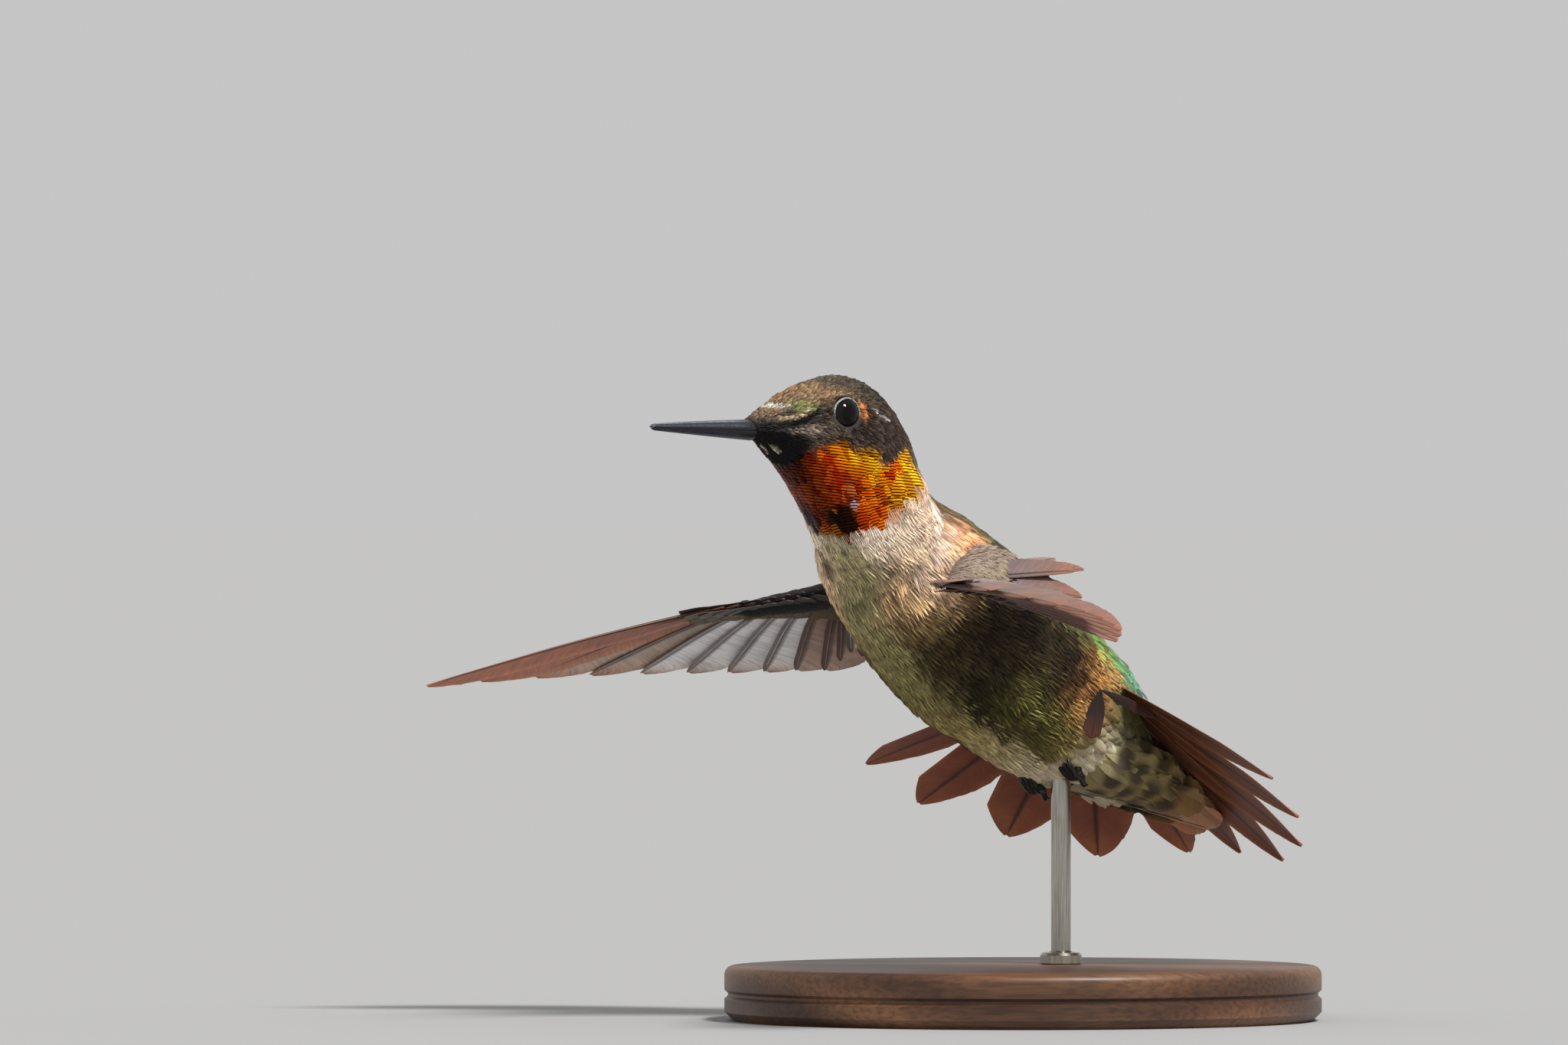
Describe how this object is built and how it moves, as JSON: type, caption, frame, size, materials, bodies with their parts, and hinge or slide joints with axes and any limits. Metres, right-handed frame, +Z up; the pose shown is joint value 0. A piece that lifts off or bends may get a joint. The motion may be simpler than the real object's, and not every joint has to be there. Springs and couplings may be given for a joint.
{
  "type": "hummingbird model",
  "caption": "Life-size still model of a ruby-throated hummingbird, adult male, hovering with spread wings and fanned tail, held by a slim rod on a round display base.",
  "frame": {"origin": "centre of the stand's flat underside", "axes": "+Z up, +X to the right and +Y away from the viewer; the bird faces -X and -Y, its bill level, turned 46 degrees from -X toward -Y"},
  "size_m": [0.0901, 0.0886, 0.0648],
  "materials": {
    "crown_plumage": "fine feathers, bronze-brown, satin",
    "gorget_plumage": "scale-like iridescent feathers, ruby to orange",
    "breast_plumage": "soft feathers, cream streaked with brown",
    "belly_plumage": "soft feathers, olive",
    "rump_plumage": "iridescent feathers, bronze-green",
    "eye": "polished black-brown glass",
    "bill_horn": "smooth black horn",
    "tail_feathers": "flight feathers, rufous brown",
    "undertail_plumage": "covert feathers, pale olive-cream with dusky spots",
    "wing_coverts": "covert feathers, dark olive-brown",
    "flight_feathers": "flight feathers, mauve-brown with dark shafts",
    "leg_scales": "small black scales",
    "stand_wood": "turned, oiled",
    "stand_steel": "satin"
  },
  "bodies": {
    "root": {"head": "crown_plumage", "neck": "gorget_plumage", "breast": "breast_plumage", "belly": "belly_plumage", "rump": "rump_plumage", "eye_left": "eye", "eye_right": "eye", "bill_upper": "bill_horn", "bill_lower": "bill_horn", "tail_right": "tail_feathers", "tail_left": "tail_feathers", "undertail_coverts": "undertail_plumage", "wing_right_arm": "wing_coverts", "wing_right_primaries": "flight_feathers", "wing_right_secondaries": "flight_feathers", "wing_left_arm": "wing_coverts", "wing_left_primaries": "flight_feathers", "wing_left_secondaries": "flight_feathers", "leg_left": "leg_scales", "leg_right": "leg_scales", "stand_base": "stand_wood", "stand_rod": "stand_steel"}
  },
  "joints": []
}
